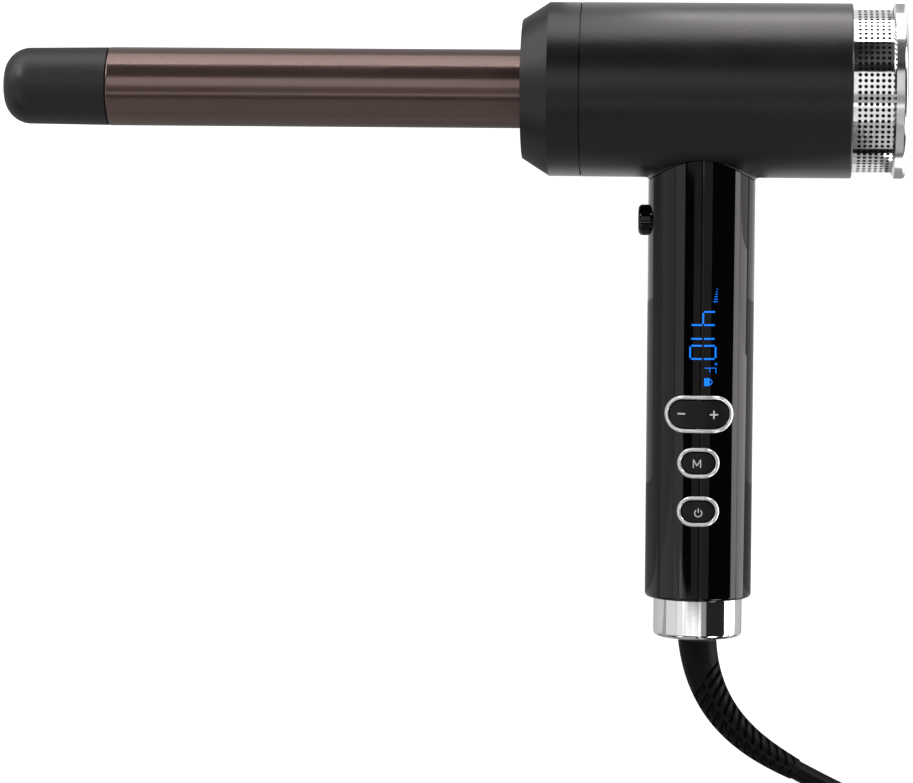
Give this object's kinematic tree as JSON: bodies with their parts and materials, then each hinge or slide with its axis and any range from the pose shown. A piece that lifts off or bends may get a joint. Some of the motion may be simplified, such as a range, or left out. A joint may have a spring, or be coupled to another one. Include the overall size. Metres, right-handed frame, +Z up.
{
  "type": "curling wand",
  "caption": "Curling wand with a hot barrel and cool tip, a fan head with a perforated intake, a handle with display and keys, a side trigger and a swivel cord.",
  "frame": {"origin": "on the table under the middle of the wand: centre of the bounding box of the wand and its strain relief, at its base", "axes": "+Z up from the table the wand lies on; X along the barrel, whose tip points to -X; the handle points to -Y with its keys up"},
  "size_m": [0.3528, 0.3592, 0.0561],
  "materials": {
    "tip_plastic": "heat-resistant matte black plastic",
    "barrel_coating": "metallic rose-brown ceramic coating",
    "housing_black": "soft matte black paint on plastic",
    "gloss_black": "piano-gloss black plastic",
    "chrome": "polished chrome",
    "key_black": "satin black plastic keys",
    "rubber": "matte black rubber",
    "steel": "plain steel",
    "aluminium": "extruded aluminium",
    "ceramic": "white ceramic",
    "brass": "plain brass",
    "inner_plastic": "dark grey moulded plastic",
    "board_green": "green solder mask",
    "display": "smoked display lens",
    "wire_red": "silicone insulation"
  },
  "bodies": {
    "wand": {"cool_tip": "tip_plastic", "tip_insulator": "ceramic", "barrel_tube": "barrel_coating", "heater_core_upper": "aluminium", "heater_core_lower": "aluminium", "ptc_heater": "ceramic", "heater_spring": "steel", "thermal_sensor": "ceramic", "thermal_fuse": "ceramic", "barrel_bracket": "inner_plastic", "nose_collar": "housing_black", "air_outlet_ring": "inner_plastic", "head_housing": "housing_black", "motor_mount": "inner_plastic", "fan_motor": "steel", "motor_screws": "steel", "intake_grille": "chrome", "dust_filter": "inner_plastic", "rear_rim": "chrome", "rear_cap": "gloss_black", "handle_sleeve": "gloss_black", "handle_chassis": "inner_plastic", "control_board": "board_green", "board_screws": "steel", "display_module": "display", "tact_switches": "key_black", "bezel_rocker": "chrome", "bezel_mode": "chrome", "bezel_power": "chrome", "rocker_pin": "steel", "rocker_frame": "inner_plastic", "trigger_spring": "steel", "trigger_switch": "inner_plastic", "end_ring": "chrome", "brush_holder": "inner_plastic", "contact_brushes": "brass", "heater_leads": "wire_red", "motor_leads": "wire_red", "supply_leads": "wire_red"},
    "fan": {"impeller": "inner_plastic", "fan_shaft": "steel"},
    "trigger": {"cool_shot_button": "gloss_black"},
    "rocker": {"rocker_key": "key_black"},
    "mode_button": {"mode_key": "key_black"},
    "power_button": {"power_key": "key_black"},
    "cord": {"swivel_hub": "inner_plastic", "slip_rings": "brass", "strain_relief": "rubber", "cord_run": "rubber", "cord_coil": "rubber", "cord_tie": "inner_plastic", "plug_body": "rubber", "plug_pins": "brass"}
  },
  "joints": [
    {"name": "fan_spin", "type": "hinge", "parent": "wand", "child": "fan", "pos_m": [0.11775, 0.09788, 0.02805], "axis": [1, 0, 0], "continuous": true},
    {"name": "cool_shot_press", "type": "slide", "parent": "wand", "child": "trigger", "axis": [1, 0, 0], "range_m": [0, 0.0015], "stiffness_N_per_m": 900, "springref_m": -0.001, "deforming": ["trigger_spring"]},
    {"name": "temperature_rocker_tilt", "type": "hinge", "parent": "wand", "child": "rocker", "pos_m": [0.08075, -0.00609, 0.03531], "axis": [0, 0.9978, 0.0669], "range_deg": [-3, 3], "stiffness_Nm_per_rad": 0.4},
    {"name": "mode_key_press", "type": "slide", "parent": "wand", "child": "mode_button", "axis": [0, 0.0669, -0.9978], "range_m": [0, 0.0005], "stiffness_N_per_m": 2000, "springref_m": -0.0005},
    {"name": "power_key_press", "type": "slide", "parent": "wand", "child": "power_button", "axis": [0, 0.0669, -0.9978], "range_m": [0, 0.0005], "stiffness_N_per_m": 2000, "springref_m": -0.0005},
    {"name": "cord_swivel", "type": "hinge", "parent": "wand", "child": "cord", "pos_m": [0.08075, -0.07833, 0.01624], "axis": [0, 0.9978, 0.0669], "continuous": true}
  ]
}
